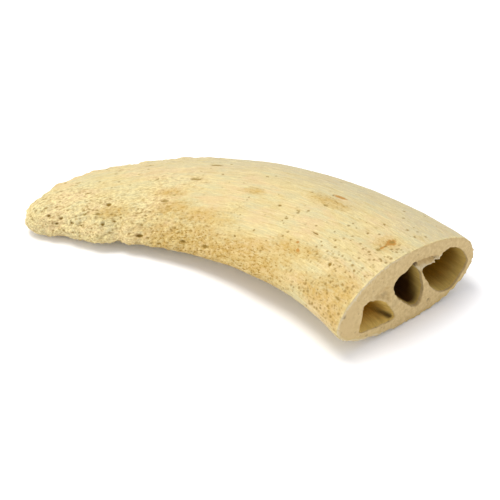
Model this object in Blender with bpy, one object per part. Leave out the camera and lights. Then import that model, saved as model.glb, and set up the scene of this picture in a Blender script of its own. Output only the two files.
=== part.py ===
"""Horn core of a water buffalo: the porous bone from inside the horn, sawn off square near the skull.

It lies on its broad side. The bone is one piece, so it is one solid: a flattened, curved loft whose
sawn end shows three blind sinus chambers. Metres, +Z up. +X points out of the sawn end, the tip lies
towards -X and curves to -Y, and the origin is under the centre of the bounding box, on the table.
"""

import bmesh
import bpy
import numpy as np
from mathutils import Matrix, Vector

# Driving sizes of the bone
ARC_LENGTH = 0.2158
START_HEADING = -0.10
TURN = 0.752
TIGHTENING = 0.757
STATIONS = (0.0, 0.25, 0.5, 0.75, 1.0)
HALF_WIDTHS = (0.0440, 0.0413, 0.0372, 0.0304, 0.0156)
HEIGHTS_ABOVE = (0.0240, 0.0198, 0.0193, 0.0145, 0.0091)
HEIGHTS_BELOW = (0.0186, 0.0173, 0.0123, 0.0086, 0.0067)
WIDTH_CLOSES_OVER = 0.175
HEIGHT_CLOSES_OVER = 0.04

# Shape of the oval section: its far and near edges, and how far its crown leans to the near side
FAR_ROUNDNESS = 0.95
NEAR_ROUNDNESS = 1.08
CROWN_LEAN = -0.153
LEAN_FADES_AT = 0.6
SQUARES_UP_OVER = 0.25

# Where the bone touches the table, and how far it clears it in between
REST_STATIONS = (0.05, 0.48, 0.92)
REST_SPREAD = 0.06
REST_SINK = 0.0004
BELLY_CLEARANCE = 0.0012

# Swells that run along the bone, faded out at both ends over a share of the length
SWELL = 0.0005
ROOT_FADE = 0.04
TIP_FADE = 0.02

# Chips and knobs of the rim towards the tip: share of the length, half length as a share, and reach
NEAR_RIM = (
    (0.715, 0.022, -0.0008),
    (0.781, 0.015, -0.0022),
    (0.850, 0.022, 0.0016),
    (0.930, 0.019, -0.0017),
    (0.972, 0.012, -0.0009),
)
FAR_RIM = (
    (0.575, 0.010, 0.0005),
    (0.606, 0.016, 0.0010),
    (0.652, 0.010, 0.0008),
    (0.745, 0.012, -0.0005),
    (0.780, 0.014, -0.0004),
    (0.825, 0.010, 0.0008),
    (0.872, 0.012, 0.0007),
    (0.905, 0.014, 0.0016),
    (0.950, 0.012, -0.0007),
    (0.982, 0.008, 0.0012),
)

# Mesh fineness: the rings crowd towards the tip, and towards each chamber's end
RINGS = 66
RING_POINTS = 52
RING_CROWDING = 1.6
CHAMBER_RINGS = 12
CHAMBER_POINTS = 30
CHAMBER_CROWDING = 1.5
SKIN_STEP = 0.004

# Sinus chambers in the plane of the sawn end, as (y, z) from the middle of its lower edge. Each narrows
# towards one point: bluntness 1 narrows it steadily like a wedge, more keeps it wide to its end, where
# it closes no more steeply than the power below allows.
MOUTH_CLEARANCE = 0.002
STEEPEST_END = 1.3
CHAMBERS = {
    "near": {
        "depth": 0.040,
        "closes_to": (-0.0240, 0.0133),
        "bluntness": 1.0,
        "outline": (
            (-0.0266, 0.0253),
            (-0.0198, 0.0243),
            (-0.0142, 0.0203),
            (-0.0095, 0.0143),
            (-0.0070, 0.0088),
            (-0.0074, 0.0071),
            (-0.0132, 0.0077),
            (-0.0201, 0.0083),
            (-0.0275, 0.0099),
            (-0.0297, 0.0123),
            (-0.0282, 0.0178),
        ),
    },
    "middle": {
        "depth": 0.112,
        "closes_to": (0.0010, 0.0198),
        "bluntness": 2.6,
        "outline": (
            (-0.0090, 0.0263),
            (-0.0074, 0.0209),
            (-0.0027, 0.0151),
            (0.0027, 0.0097),
            (0.0070, 0.0069),
            (0.0096, 0.0093),
            (0.0106, 0.0153),
            (0.0092, 0.0218),
            (0.0076, 0.0273),
            (0.0031, 0.0341),
            (-0.0015, 0.0317),
            (-0.0070, 0.0299),
        ),
    },
    "far": {
        "depth": 0.074,
        "closes_to": (0.0250, 0.0188),
        "bluntness": 2.2,
        "outline": (
            (0.0094, 0.0261),
            (0.0129, 0.0269),
            (0.0172, 0.0269),
            (0.0215, 0.0303),
            (0.0265, 0.0312),
            (0.0335, 0.0277),
            (0.0384, 0.0208),
            (0.0397, 0.0163),
            (0.0364, 0.0111),
            (0.0310, 0.0066),
            (0.0250, 0.0064),
            (0.0185, 0.0109),
            (0.0128, 0.0188),
        ),
    },
}

# The broken top of the partition between the middle and far chambers: it slopes up and back from its lip
LEDGE_SLOPE = 0.75
LEDGE_FOOT = 0.0265
LEDGE_LIP_DEPTH = 0.0006
LEDGE_DEPTH = 0.0050
LEDGE_OUTLINE = (
    (0.0024, 0.0342),
    (0.0050, 0.0293),
    (0.0078, 0.0258),
    (0.0129, 0.0253),
    (0.0180, 0.0255),
    (0.0192, 0.0306),
    (0.0160, 0.0315),
    (0.0100, 0.0334),
)

# Vascular pits of the upper side: share of the length, place across from the near rim, -1, to the far
# rim, 1, then length, width and depth
PITS = (
    (0.955, -0.65, 0.0022, 0.0012, 0.0007),
    (0.943, -0.88, 0.0020, 0.0013, 0.0009),
    (0.929, -0.74, 0.0030, 0.0013, 0.0009),
    (0.908, -0.84, 0.0017, 0.0013, 0.0007),
    (0.885, -0.88, 0.0016, 0.0013, 0.0009),
    (0.866, 0.36, 0.0026, 0.0011, 0.0006),
    (0.825, -0.85, 0.0023, 0.0017, 0.0010),
    (0.803, -0.49, 0.0036, 0.0022, 0.0009),
    (0.791, -0.81, 0.0016, 0.0012, 0.0007),
    (0.773, -0.75, 0.0016, 0.0011, 0.0006),
    (0.716, -0.97, 0.0060, 0.0019, 0.0011),
    (0.608, -0.86, 0.0016, 0.0013, 0.0007),
    (0.574, -0.97, 0.0040, 0.0018, 0.0009),
    (0.499, -0.97, 0.0064, 0.0016, 0.0008),
    (0.439, 0.24, 0.0018, 0.0011, 0.0006),
    (0.416, -0.82, 0.0018, 0.0013, 0.0007),
    (0.356, -0.21, 0.0024, 0.0015, 0.0007),
    (0.210, -0.41, 0.0056, 0.0012, 0.0006),
    (0.119, 0.03, 0.0016, 0.0013, 0.0006),
    (0.119, 0.24, 0.0015, 0.0012, 0.0006),
    (0.110, -0.65, 0.0028, 0.0020, 0.0007),
)
PIT_SEGMENTS = 10
PIT_RINGS = 6

BONE_COLOUR = (0.72, 0.58, 0.34, 1.0)
BONE_ROUGHNESS = 0.75


def through(stations, values, s):
    """Smooth curve through the values at the stations, read at s (cubic Hermite, mean slopes)."""
    at, v = np.array(stations, float), np.array(values, float)
    slope = np.gradient(v, at)
    i = np.clip(np.searchsorted(at, s, side="right") - 1, 0, len(at) - 2)
    gap = at[i + 1] - at[i]
    t = (s - at[i]) / gap
    rising = t * t * (3 - 2 * t)
    return (
        (1 - rising) * v[i]
        + rising * v[i + 1]
        + t * (1 - t) ** 2 * gap * slope[i]
        - t * t * (1 - t) * gap * slope[i + 1]
    )


def spine(s):
    """Plan position and heading of the bone's middle line at share s of its length."""
    fine = np.linspace(0, 1, 401)
    heading = START_HEADING + TURN * fine + TIGHTENING * fine**2
    mid = (heading[1:] + heading[:-1]) / 2
    step = ARC_LENGTH * np.diff(fine)
    x = np.concatenate([[0], np.cumsum(-np.cos(mid) * step)])
    y = np.concatenate([[0], np.cumsum(-np.sin(mid) * step)])
    return np.interp(s, fine, x), np.interp(s, fine, y), np.interp(s, fine, heading)


def closing(s, over):
    """1 along the bone, then falling to 0 at the tip as a quarter ellipse."""
    q = np.clip((s - 1 + over) / over, 0, 1)
    return np.sqrt(1 - q * q)


def section_sizes(s):
    """Half width, and heights above and below the section's middle, at s."""
    width = through(STATIONS, HALF_WIDTHS, s) * closing(s, WIDTH_CLOSES_OVER)
    return width, through(STATIONS, HEIGHTS_ABOVE, s), through(STATIONS, HEIGHTS_BELOW, s)


def place(s, u, z):
    """World position of a point u across the bone and z up, in the section at s."""
    x, y, heading = spine(s)
    q = np.clip(s / SQUARES_UP_OVER, 0, 1)
    lateral = heading * q * q * (3 - 2 * q)
    return np.stack(np.broadcast_arrays(x - np.sin(lateral) * u, y + np.cos(lateral) * u, z), -1)


def rim_shape(rim, s):
    """How far the chips and knobs of one rim reach out at s."""
    return sum(reach * np.exp(-(((s - at) / half) ** 2)) for at, half, reach in rim)


def relief(s, theta):
    """Swells along the bone, and the broken rims near the tip."""
    swell = np.sin(3 * theta + 5 * s) * np.sin(9 * s + 1.3) + 0.6 * np.sin(7 * theta - 4 * s)
    swell *= np.sin(np.pi * np.clip(s * 1.6, 0, 1)) + 0.35
    toward_far = np.cos(theta)
    rim = rim_shape(FAR_RIM, s) * np.clip(toward_far, 0, 1) ** 3
    rim = rim + rim_shape(NEAR_RIM, s) * np.clip(-toward_far, 0, 1) ** 3
    root = np.clip(s / ROOT_FADE, 0, 1)
    tip = np.clip((1 - s) / TIP_FADE, 0, 1)
    return (SWELL * swell * root + rim) * tip


def bone_skin(s, theta):
    """Outer surface: a flattened oval, rounder on the far edge, with its crown leaning to the near side."""
    width, above, below = section_sizes(s)
    c, v = np.cos(theta), np.sin(theta)
    power = np.where(c > 0, FAR_ROUNDNESS, NEAR_ROUNDNESS)
    across = np.sign(c) * np.abs(c) ** power
    upward = np.sign(v) * np.abs(v) ** power
    lean = CROWN_LEAN * np.clip(1 - s / LEAN_FADES_AT, 0, 1)
    grow = relief(s, theta)
    u = (width + grow) * across + lean * width * upward * (1 - np.abs(across))
    height = np.where(upward > 0, above, below) * closing(s, HEIGHT_CLOSES_OVER)
    touch = sum(np.exp(-(((s - rest) / REST_SPREAD) ** 2)) for rest in REST_STATIONS)
    lift = (BELLY_CLEARANCE * (1 - np.clip(touch, 0, 1)) - REST_SINK) * np.clip(-upward, 0, 1)
    z = np.maximum(below + (height + grow) * upward + lift, 0)
    return place(s, u, z)


def closed_curve(points, count):
    """A smooth closed line through the points (Catmull-Rom), as evenly stepped samples."""
    knots = np.array(points)
    at = np.arange(count) * len(knots) / count
    i = np.floor(at).astype(int)
    t = (at - i)[:, None]
    before, here, there, after = (knots[(i + k) % len(knots)] for k in (-1, 0, 1, 2))
    cubic = (there - before) * t + (2 * before - 5 * here + 4 * there - after) * t**2
    cubic += (3 * here - before - 3 * there + after) * t**3
    return here + cubic / 2


def chamber_wall(chamber, share):
    """Ring of a sinus chamber: its outline at the sawn end, narrowed with the bone and closed with depth."""
    outline, end = closed_curve(chamber["outline"], CHAMBER_POINTS), np.array(chamber["closes_to"])
    bluntness = chamber["bluntness"]
    open_still = (1 - share**bluntness) ** min(1, STEEPEST_END / bluntness)
    s = np.full(CHAMBER_POINTS, share * chamber["depth"] / ARC_LENGTH)
    width, above, below = section_sizes(s)
    width0, above0, below0 = section_sizes(np.zeros(1))
    u, z = (end + (outline - end) * open_still).T
    return place(s, u * width / width0, z * (above + below) / (above0 + below0))


def lofted(rings, first_cap, tip):
    """Mesh through rings of points, with a flat first cap and a point at the tip."""
    built = bmesh.new()
    rows = [[built.verts.new(point) for point in ring] for ring in rings]
    end = built.verts.new(tip)
    count = len(rows[0])
    for here, there in zip(rows, rows[1:]):
        for i in range(count):
            j = (i + 1) % count
            built.faces.new((here[i], here[j], there[j], there[i]))
    for i in range(count):
        built.faces.new((rows[-1][i], rows[-1][(i + 1) % count], end))
    if first_cap:
        built.faces.new(rows[0])
    bmesh.ops.recalc_face_normals(built, faces=built.faces)
    return built


def as_object(name, built, collection):
    """An object that holds the mesh, in the collection."""
    mesh = bpy.data.meshes.new(name)
    built.to_mesh(mesh)
    built.free()
    made = bpy.data.objects.new(name, mesh)
    collection.objects.link(made)
    return made


def as_cutter(name, built, collection):
    """An object that only cuts."""
    cutter = as_object(name, built, collection)
    cutter.hide_render = True
    cutter.display_type = "WIRE"
    return cutter


def bone_loft():
    """The bone without its hollows. Rings crowd towards the blunt tip."""
    share = np.linspace(0, 1, RINGS + 1)[:-1]
    theta = np.linspace(0, 2 * np.pi, RING_POINTS, endpoint=False)
    along = 1 - (1 - share) ** RING_CROWDING
    rings = [bone_skin(np.full(RING_POINTS, s), theta) for s in along]
    return lofted(rings, True, bone_skin(np.ones(1), np.zeros(1))[0])


def chamber_loft(chamber):
    """A sinus chamber as a closed cutter that starts outside the sawn end."""
    shares = 1 - (1 - np.linspace(0, 1, CHAMBER_RINGS + 1)) ** CHAMBER_CROWDING
    rings = [chamber_wall(chamber, share) for share in shares]
    outside = rings[0] + np.array([MOUTH_CLEARANCE, 0, 0])
    return lofted([outside] + rings[:-1], True, rings[-1][0])


def ledge_block():
    """The wedge that the broken top of the partition leaves open."""
    outline = np.array(LEDGE_OUTLINE)
    depth = np.clip(LEDGE_SLOPE * (outline[:, 1] - LEDGE_FOOT), LEDGE_LIP_DEPTH, LEDGE_DEPTH)
    front = np.column_stack([np.full(len(outline), MOUTH_CLEARANCE), outline])
    back = np.column_stack([-depth, outline])
    return lofted([front, back], True, back.mean(0))


def pit_frame(s, theta):
    """Position on the skin, the direction along the bone and the outward normal."""
    here = bone_skin(np.array([s]), np.array([theta]))[0]
    along = bone_skin(np.array([s + SKIN_STEP]), np.array([theta]))[0] - here
    around = bone_skin(np.array([s]), np.array([theta + SKIN_STEP]))[0] - here
    normal = Vector(np.cross(around, along)).normalized()
    return Vector(here), Vector(along).normalized(), normal


def pit_cutters():
    """All pits as small ellipsoids half sunk in the skin, in one mesh."""
    built = bmesh.new()
    for share, across, length, width, depth in PITS:
        spot, along, normal = pit_frame(share, np.arccos(across))
        side = normal.cross(along).normalized()
        turn = Matrix((along, side, normal)).transposed().to_4x4()
        size = Matrix.Diagonal((length / 2, width / 2, depth, 1))
        bmesh.ops.create_uvsphere(
            built,
            u_segments=PIT_SEGMENTS,
            v_segments=PIT_RINGS,
            radius=1,
            matrix=Matrix.Translation(spot) @ turn @ size,
        )
    bmesh.ops.recalc_face_normals(built, faces=built.faces)
    return built


def bone_material():
    """Dry, cream-yellow bone."""
    material = bpy.data.materials.new("dry_bone")
    material.use_nodes = True
    shader = material.node_tree.nodes["Principled BSDF"]
    shader.inputs["Base Color"].default_value = BONE_COLOUR
    shader.inputs["Roughness"].default_value = BONE_ROUGHNESS
    shader.inputs["Metallic"].default_value = 0.0
    return material


def cut(target, cutter):
    """Takes the cutter out of the target."""
    modifier = target.modifiers.new("cut_" + cutter.name, "BOOLEAN")
    modifier.operation = "DIFFERENCE"
    modifier.solver = "EXACT"
    modifier.object = cutter


def collection_named(name):
    made = bpy.data.collections.new(name)
    bpy.context.scene.collection.children.link(made)
    return made


def clear_scene():
    for old in list(bpy.data.objects):
        bpy.data.objects.remove(old, do_unlink=True)


def centring(bone):
    """The shift that puts the origin under the centre of the bounding box."""
    points = np.array([vertex.co for vertex in bone.data.vertices])
    middle = (points.min(0) + points.max(0)) / 2
    return Vector((-middle[0], -middle[1], -points[:, 2].min()))


def main():
    clear_scene()
    parts = collection_named("horn_core_parts")
    cutters = collection_named("cutters")
    bone = as_object("horn_core", bone_loft(), parts)
    tools = [as_cutter("chamber_" + name, chamber_loft(chamber), cutters) for name, chamber in CHAMBERS.items()]
    tools.append(as_cutter("ledge", ledge_block(), cutters))
    tools.append(as_cutter("pits", pit_cutters(), cutters))
    for tool in tools:
        cut(bone, tool)
    shift = centring(bone)
    for placed in [bone, *tools]:
        placed.location = shift
    bone.data.materials.append(bone_material())
    bone.data.shade_smooth()


main()
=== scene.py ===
# A water buffalo's horn core: dry, bleached, porous bone, with its sawn end turned to the camera.
# Lengths are metres unless a name ends in Mm. "along" is the share of the bone's length from the
# sawn end, 0, to the tip, 1. "across" runs from -1 on the inner curve's edge to 1 on the outer one.

import bpy
import numpy as np
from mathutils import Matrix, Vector


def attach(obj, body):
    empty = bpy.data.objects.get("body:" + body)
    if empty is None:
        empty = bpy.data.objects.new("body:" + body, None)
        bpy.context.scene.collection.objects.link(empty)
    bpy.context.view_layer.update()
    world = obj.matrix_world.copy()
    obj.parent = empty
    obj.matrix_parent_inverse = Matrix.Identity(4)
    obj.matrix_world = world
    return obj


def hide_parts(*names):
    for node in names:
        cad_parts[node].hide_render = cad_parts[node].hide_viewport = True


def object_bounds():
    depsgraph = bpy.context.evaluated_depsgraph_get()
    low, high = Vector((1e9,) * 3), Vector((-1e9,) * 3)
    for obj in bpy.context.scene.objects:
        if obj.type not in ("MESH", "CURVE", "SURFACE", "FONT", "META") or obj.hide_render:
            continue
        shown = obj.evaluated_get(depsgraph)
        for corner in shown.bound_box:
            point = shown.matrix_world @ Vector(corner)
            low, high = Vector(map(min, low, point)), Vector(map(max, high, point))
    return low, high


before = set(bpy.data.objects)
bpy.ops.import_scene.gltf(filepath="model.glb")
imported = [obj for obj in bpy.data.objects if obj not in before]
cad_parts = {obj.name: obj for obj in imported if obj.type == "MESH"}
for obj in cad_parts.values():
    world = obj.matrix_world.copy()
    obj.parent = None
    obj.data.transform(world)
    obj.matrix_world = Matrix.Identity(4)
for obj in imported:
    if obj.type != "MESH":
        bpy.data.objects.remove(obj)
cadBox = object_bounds()
print("frame loaded")


# The bone's shape
boneShape = {
    "arcLength": 0.2158,
    "startHeading": -0.10,
    "turn": 0.752,
    "tightening": 0.757,
    "stations": (0.0, 0.25, 0.5, 0.75, 1.0),
    "halfWidths": (0.0440, 0.0413, 0.0372, 0.0304, 0.0156),
    "heightsAbove": (0.0240, 0.0198, 0.0193, 0.0145, 0.0091),
    "heightsBelow": (0.0186, 0.0173, 0.0123, 0.0086, 0.0067),
    "widthClosesOver": 0.175,
    "heightClosesOver": 0.04,
    "farRoundness": 0.95,
    "nearRoundness": 1.08,
    "crownLean": -0.153,
    "leanFadesAt": 0.6,
    "squaresUpOver": 0.25,
    "restStations": (0.05, 0.48, 0.92),
    "restSpread": 0.06,
    "restSink": 0.0004,
    "bellyClearance": 0.0012,
    "swell": 0.0005,
    "rootFade": 0.04,
    "tipFade": 0.02,
    "sawnEndAt": (0.09171, 0.02668),  # x and y of the middle of the sawn end's lower edge
    # chips and knobs of the rims: share of the length, half length as a share, and reach
    "nearRim": (
        (0.715, 0.022, -0.0008),
        (0.781, 0.015, -0.0022),
        (0.850, 0.022, 0.0016),
        (0.930, 0.019, -0.0017),
        (0.972, 0.012, -0.0009),
    ),
    "farRim": (
        (0.575, 0.010, 0.0005),
        (0.606, 0.016, 0.0010),
        (0.652, 0.010, 0.0008),
        (0.745, 0.012, -0.0005),
        (0.780, 0.014, -0.0004),
        (0.825, 0.010, 0.0008),
        (0.872, 0.012, 0.0007),
        (0.905, 0.014, 0.0016),
        (0.950, 0.012, -0.0007),
        (0.982, 0.008, 0.0012),
    ),
}

skinMesh = {
    "pointsRound": 250,
    "ringStepMm": 0.74,
    "upperShare": 1.3,  # how much finer the upper side is than the underside
    "faceSteps": 16,
    "partitionPoints": 52,
    "wallSteps": 26,
}


def through(values, along):  # smooth curve through the values at the stations
    at, v = np.array(boneShape["stations"]), np.array(values)
    slope = np.gradient(v, at)
    i = np.clip(np.searchsorted(at, along, side="right") - 1, 0, len(at) - 2)
    gap = at[i + 1] - at[i]
    t = (along - at[i]) / gap
    rising = t * t * (3 - 2 * t)
    bend = t * (1 - t) ** 2 * slope[i] - t * t * (1 - t) * slope[i + 1]
    return (1 - rising) * v[i] + rising * v[i + 1] + gap * bend


def fading(distance, reach):  # 1 at no distance, dying away softly over the reach
    return np.exp(-((distance / reach) ** 2))


def closing(along, over):  # 1 along the bone, then down to 0 at the tip as a quarter ellipse
    q = np.clip((along - 1 + over) / over, 0, 1)
    return np.sqrt(1 - q * q)


def sectionSizes(along):  # half width, then heights above and below the section's middle
    width = through(boneShape["halfWidths"], along) * closing(along, boneShape["widthClosesOver"])
    return width, through(boneShape["heightsAbove"], along), through(boneShape["heightsBelow"], along)


def placeOnBone(along, sideways, height):  # world position of a point in the section at along
    fine = np.linspace(0, 1, 401)
    heading = boneShape["startHeading"] + boneShape["turn"] * fine + boneShape["tightening"] * fine**2
    middle = (heading[1:] + heading[:-1]) / 2
    step = boneShape["arcLength"] * np.diff(fine)
    pathX = np.concatenate([[0], np.cumsum(-np.cos(middle) * step)]) + boneShape["sawnEndAt"][0]
    pathY = np.concatenate([[0], np.cumsum(-np.sin(middle) * step)]) + boneShape["sawnEndAt"][1]
    q = np.clip(along / boneShape["squaresUpOver"], 0, 1)
    lateral = np.interp(along, fine, heading) * q * q * (3 - 2 * q)
    x = np.interp(along, fine, pathX) - np.sin(lateral) * sideways
    y = np.interp(along, fine, pathY) + np.cos(lateral) * sideways
    return np.stack(np.broadcast_arrays(x, y, height), -1)


def rimShape(side, along):  # how far the chips and knobs of one rim reach out
    return sum(reach * fading(along - at, half) for at, half, reach in boneShape[side + "Rim"])


def relief(along, theta):  # swells along the bone, and the broken rims near the tip
    swell = np.sin(3 * theta + 5 * along) * np.sin(9 * along + 1.3) + 0.6 * np.sin(7 * theta - 4 * along)
    swell = swell * (np.sin(np.pi * np.clip(along * 1.6, 0, 1)) + 0.35)
    towardFar = np.cos(theta)
    rim = rimShape("far", along) * np.clip(towardFar, 0, 1) ** 3
    rim = rim + rimShape("near", along) * np.clip(-towardFar, 0, 1) ** 3
    root = np.clip(along / boneShape["rootFade"], 0, 1)
    return (boneShape["swell"] * swell * root + rim) * np.clip((1 - along) / boneShape["tipFade"], 0, 1)


def boneSkin(along, theta):  # flattened oval, rounder on the outer curve, its crown to the inner one
    width, above, below = sectionSizes(along)
    c, v = np.cos(theta), np.sin(theta)
    power = np.where(c > 0, boneShape["farRoundness"], boneShape["nearRoundness"])
    across = np.sign(c) * np.abs(c) ** power
    upward = np.sign(v) * np.abs(v) ** power
    lean = boneShape["crownLean"] * np.clip(1 - along / boneShape["leanFadesAt"], 0, 1)
    grow = relief(along, theta)
    sideways = (width + grow) * across + lean * width * upward * (1 - np.abs(across))
    height = np.where(upward > 0, above, below) * closing(along, boneShape["heightClosesOver"])
    rests = boneShape["restStations"]
    touch = sum(fading(along - rest, boneShape["restSpread"]) for rest in rests)
    lift = boneShape["bellyClearance"] * (1 - np.clip(touch, 0, 1)) - boneShape["restSink"]
    lift = lift * np.clip(-upward, 0, 1)
    z = np.maximum(below + (height + grow) * upward + lift, 0)
    straight = np.stack(np.broadcast_arrays(along * boneShape["arcLength"], sideways, z - below), -1)
    return placeOnBone(along, sideways, z), straight


# The sinus chambers, as outlines (y, z) in the plane of the sawn end
chambers = {
    "near": {
        "depth": 0.040,
        "centre": (-0.0190, 0.0153),
        "closesTo": (-0.0240, 0.0133),
        "bluntness": 1.0,  # 1 narrows steadily like a wedge, more keeps the chamber wide to its end
        "crease": (-0.0074, 0.0074),  # where the floor meets the far wall, painted dark as shade in the corner
        "gloom": 0.0,  # how dark painted shade turns the walls with depth
        "outline": (
            (-0.0266, 0.0253),
            (-0.0198, 0.0243),
            (-0.0142, 0.0203),
            (-0.0095, 0.0143),
            (-0.0070, 0.0088),
            (-0.0074, 0.0071),
            (-0.0132, 0.0077),
            (-0.0201, 0.0083),
            (-0.0275, 0.0099),
            (-0.0297, 0.0123),
            (-0.0282, 0.0178),
        ),
    },
    "middle": {
        "depth": 0.112,
        "centre": (0.0020, 0.0203),
        "closesTo": (0.0010, 0.0198),
        "bluntness": 2.6,
        "gloom": 1.0,
        "gloomSide": (-0.55, -0.83),  # the side of the mouth painted dark with shade from its very edge
        "outline": (
            (-0.0090, 0.0263),
            (-0.0074, 0.0209),
            (-0.0027, 0.0151),
            (0.0027, 0.0097),
            (0.0070, 0.0069),
            (0.0096, 0.0093),
            (0.0106, 0.0153),
            (0.0092, 0.0218),
            (0.0076, 0.0273),
            (0.0031, 0.0341),
            (-0.0015, 0.0317),
            (-0.0070, 0.0299),
        ),
    },
    "far": {
        "depth": 0.074,
        "centre": (0.0250, 0.0183),
        "closesTo": (0.0250, 0.0188),
        "bluntness": 2.2,
        "gloom": 0.35,
        "splinters": (  # place, width and length of thin teeth of bone that stick into the mouth
            ((0.0176, 0.0272), 0.0008, 0.0011),
            ((0.0196, 0.0290), 0.0007, 0.0016),
            ((0.0211, 0.0301), 0.0008, 0.0010),
            ((0.0233, 0.0311), 0.0009, 0.0007),
        ),
        "outline": (
            (0.0094, 0.0261),
            (0.0129, 0.0269),
            (0.0172, 0.0269),
            (0.0215, 0.0303),
            (0.0265, 0.0312),
            (0.0335, 0.0277),
            (0.0384, 0.0208),
            (0.0397, 0.0163),
            (0.0364, 0.0111),
            (0.0310, 0.0066),
            (0.0250, 0.0064),
            (0.0185, 0.0109),
            (0.0128, 0.0188),
        ),
    },
}

sawnEnd = {
    # middle lines of the two partitions, from the top of the rim to its bottom
    "nearPartition": (
        (-0.0170, 0.0418),
        (-0.0140, 0.0293),
        (-0.0088, 0.0193),
        (-0.0048, 0.0123),
        (-0.0015, 0.0063),
        (0.0, 0.0),
    ),
    "farPartition": (
        (0.0070, 0.0423),
        (0.0090, 0.0338),
        (0.0084, 0.0273),
        (0.0105, 0.0218),
        (0.0128, 0.0143),
        (0.0145, 0.0073),
        (0.0155, 0.0013),
    ),
    # the broken top of the far partition, which slopes up and back from its lip to a crack
    "ledge": (
        (0.0024, 0.0342),
        (0.0050, 0.0293),
        (0.0078, 0.0258),
        (0.0129, 0.0253),
        (0.0180, 0.0255),
        (0.0192, 0.0306),
        (0.0160, 0.0315),
        (0.0100, 0.0334),
    ),
    "ledgeSlope": 0.75,
    "ledgeFoot": 0.0265,
    "ledgeDepths": (0.0004, 0.0050),
    "ledgeAtFoot": 0.0006,
    "ledgeRagged": 0.0003,
    "crack": (
        (0.0026, 0.0338),
        (0.0060, 0.0331),
        (0.0100, 0.0326),
        (0.0150, 0.0311),
        (0.0180, 0.0304),
    ),
    "crackDepth": 0.0034,
    "crackWidth": 0.0007,
    "hollow": (
        (-0.0118, 0.0304),
        (-0.0176, 0.0289),
        (-0.0243, 0.0266),
        (-0.0170, 0.0238),
        (-0.0122, 0.0200),
        (-0.0102, 0.0190),
    ),
    "hollowDepth": 0.0017,
    "smallPit": (0.0148, 0.0066),
    "smallPitSize": 0.0013,
    "smallPitDepth": 0.0010,
    "mouthRough": 0.00022,
    "mouthGrain": 0.0014,
    # how far the rounding of the sawn edges reaches, and how strong it is at the mouths
    "rimReach": 0.0008,
    "mouthReach": 0.0006,
    "mouthShare": 0.55,
    "yellowReach": 0.0019,
    "yellowHeights": (0.011, 0.022),
    # chalky lines: the thin lip of the far partition, and the burr left by the saw on the rim
    "lipEdge": (0.0010, 0.0003),
    "burrEdge": (0.0017, 0.0005),
    "lip": (
        (0.0028, 0.0337),
        (0.0055, 0.0305),
        (0.0081, 0.0278),
        (0.0126, 0.0274),
        (0.0169, 0.0266),
        (0.0197, 0.0290),
        (0.0211, 0.0299),
    ),
    "burr": (
        (-0.0249, 0.0383),
        (-0.0282, 0.0374),
        (-0.0303, 0.0359),
        (-0.0335, 0.0328),
        (-0.0372, 0.0300),
    ),
    # darkened spots, some real stains, some painted shade of a small hole and of the hollow: y, z, radius and
    # strength
    "spots": (
        (0.0148, 0.0066, 0.0013, 0.55),
        (-0.0397, 0.0252, 0.0014, 0.70),
        (0.0068, 0.0304, 0.0021, 0.95),
        (-0.0137, 0.0242, 0.0026, 0.25),
        (-0.0075, 0.0165, 0.0040, 0.12),
        (-0.0247, 0.0066, 0.0010, 0.45),
    ),
}


def closedCurve(points, count):  # smooth closed line through the points (Catmull-Rom)
    knots = np.array(points)
    at = np.arange(count) * len(knots) / count
    i = np.floor(at).astype(int)
    t = (at - i)[:, None]
    before, here, there, after = (knots[(i + k) % len(knots)] for k in (-1, 0, 1, 2))
    cubic = (there - before) * t + (2 * before - 5 * here + 4 * there - after) * t**2
    cubic += (3 * here - before - 3 * there + after) * t**3
    return here + cubic / 2


def openCurve(points, count):  # smooth line through the points, its ends left out
    knots = np.array(points)
    gone = np.concatenate([[0], np.cumsum(np.linalg.norm(np.diff(knots, axis=0), axis=1))])
    at = np.linspace(0, gone[-1], count + 2)[1:-1]
    slope = np.gradient(knots, gone, axis=0)
    i = np.clip(np.searchsorted(gone, at, side="right") - 1, 0, len(gone) - 2)
    gap = (gone[i + 1] - gone[i])[:, None]
    t = (at - gone[i])[:, None] / gap
    rising = t * t * (3 - 2 * t)
    bend = t * (1 - t) ** 2 * slope[i] - t * t * (1 - t) * slope[i + 1]
    return (1 - rising) * knots[i] + rising * knots[i + 1] + gap * bend


def insideBy(points, outline):  # how far inside the outline each point lies, negative outside
    start = np.array(outline)
    edge = np.roll(start, -1, axis=0) - start
    to = points[:, None, :] - start[None]
    t = np.clip((to * edge).sum(-1) / (edge * edge).sum(-1), 0, 1)
    gap = np.linalg.norm(to - t[..., None] * edge, axis=-1).min(1)
    end = start + edge
    crosses = (start[:, 1] > points[:, None, 1]) != (end[:, 1] > points[:, None, 1])
    safe = np.where(np.abs(edge[:, 1]) < 1e-12, 1e-12, edge[:, 1])
    at = start[:, 0] + (points[:, None, 1] - start[:, 1]) / safe * edge[:, 0]
    inside = (crosses & (points[:, None, 0] < at)).sum(1) % 2 == 1
    return np.where(inside, gap, -gap)


def eased(value, low, high):  # 0 below low, 1 above high, smooth between
    t = np.clip((value - low) / (high - low), 0, 1)
    return t * t * (3 - 2 * t)


# Repeatable noise
def scattered(cells, seed):  # a number from 0 to 1 for each whole-numbered cell
    mixed = cells[:, 0] * 374761393 + cells[:, 1] * 668265263 + cells[:, 2] * 974634777 + seed * 1274126177
    mixed = (mixed ^ (mixed >> 13)) * 1274126177
    return ((mixed ^ (mixed >> 16)) & 0xFFFFFF) / 0xFFFFFF


def softNoise(points, seed):  # -1 to 1: random corner values of a unit grid, eased between corners
    base = np.floor(points).astype(np.int64)
    part = points - base
    part = part * part * (3 - 2 * part)
    total = np.zeros(len(points))
    for corner in range(8):
        offset = np.array([corner & 1, corner >> 1 & 1, corner >> 2 & 1])
        weight = np.prod(np.where(offset == 1, part, 1 - part), axis=1)
        total += weight * scattered(base + offset, seed)
    return total * 2 - 1


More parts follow.
